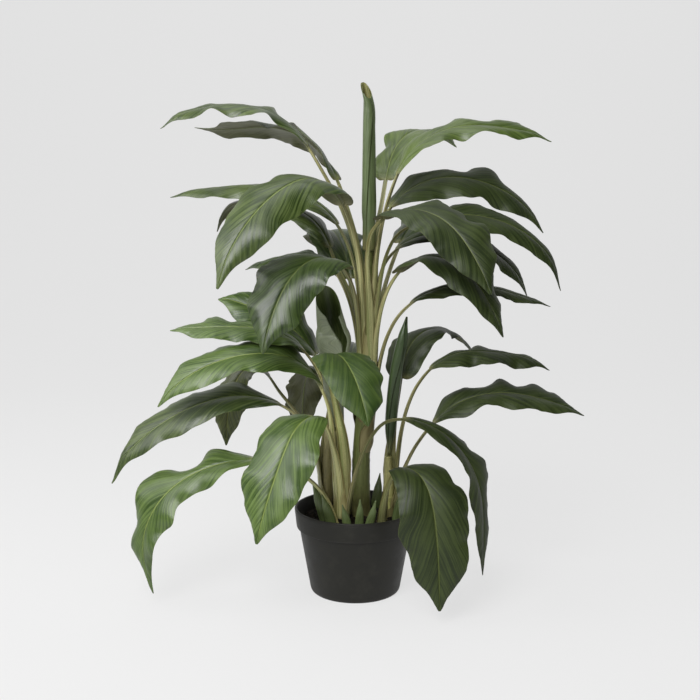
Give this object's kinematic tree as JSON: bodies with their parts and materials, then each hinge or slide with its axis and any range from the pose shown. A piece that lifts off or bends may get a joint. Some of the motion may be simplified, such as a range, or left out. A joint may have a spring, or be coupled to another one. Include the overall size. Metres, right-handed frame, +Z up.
{
  "type": "potted dracaena",
  "caption": "Broad-leaved dracaena with arching long-stalked leaves, rolled young leaves and canes, standing in a round plastic nursery pot of soil.",
  "frame": {"origin": "middle of the pot's flat underside, on the surface it stands on", "axes": "+Z up the plant, -Y towards the plant's best side, +X to the right when that side is seen"},
  "size_m": [0.6508, 0.4198, 0.7022],
  "materials": {
    "pot": "matte",
    "soil": "matte",
    "cane": "satin",
    "leaf": "satin",
    "young_leaf": "satin",
    "shoot": "satin"
  },
  "bodies": {
    "root": {"pot": "pot", "soil": "soil", "tall_cane": "cane", "left_cane": "cane", "right_cane": "cane", "back_cane": "cane", "tall_leaf_01": "leaf", "tall_leaf_02": "leaf", "tall_leaf_03": "leaf", "tall_leaf_04": "leaf", "tall_leaf_05": "leaf", "tall_leaf_06": "leaf", "tall_leaf_07": "leaf", "tall_leaf_08": "leaf", "tall_leaf_09": "leaf", "tall_leaf_10": "leaf", "tall_leaf_11": "leaf", "tall_leaf_12": "leaf", "tall_leaf_13": "leaf", "tall_leaf_14": "leaf", "tall_leaf_15": "leaf", "tall_leaf_16": "leaf", "tall_leaf_17": "leaf", "left_leaf_01": "leaf", "left_leaf_02": "leaf", "left_leaf_03": "leaf", "left_leaf_04": "leaf", "left_leaf_05": "leaf", "back_leaf_01": "leaf", "back_leaf_02": "leaf", "back_leaf_03": "leaf", "back_leaf_04": "leaf", "right_leaf_01": "leaf", "right_leaf_02": "leaf", "right_leaf_03": "leaf", "low_leaf_01": "leaf", "low_leaf_02": "leaf", "low_leaf_03": "leaf", "tall_spear": "young_leaf", "right_spear": "young_leaf", "left_spear": "young_leaf", "shoot_1": "shoot", "shoot_2": "shoot", "shoot_3": "shoot", "shoot_4": "shoot", "shoot_5": "shoot", "shoot_6": "shoot", "shoot_7": "shoot", "shoot_8": "shoot"}
  },
  "joints": []
}
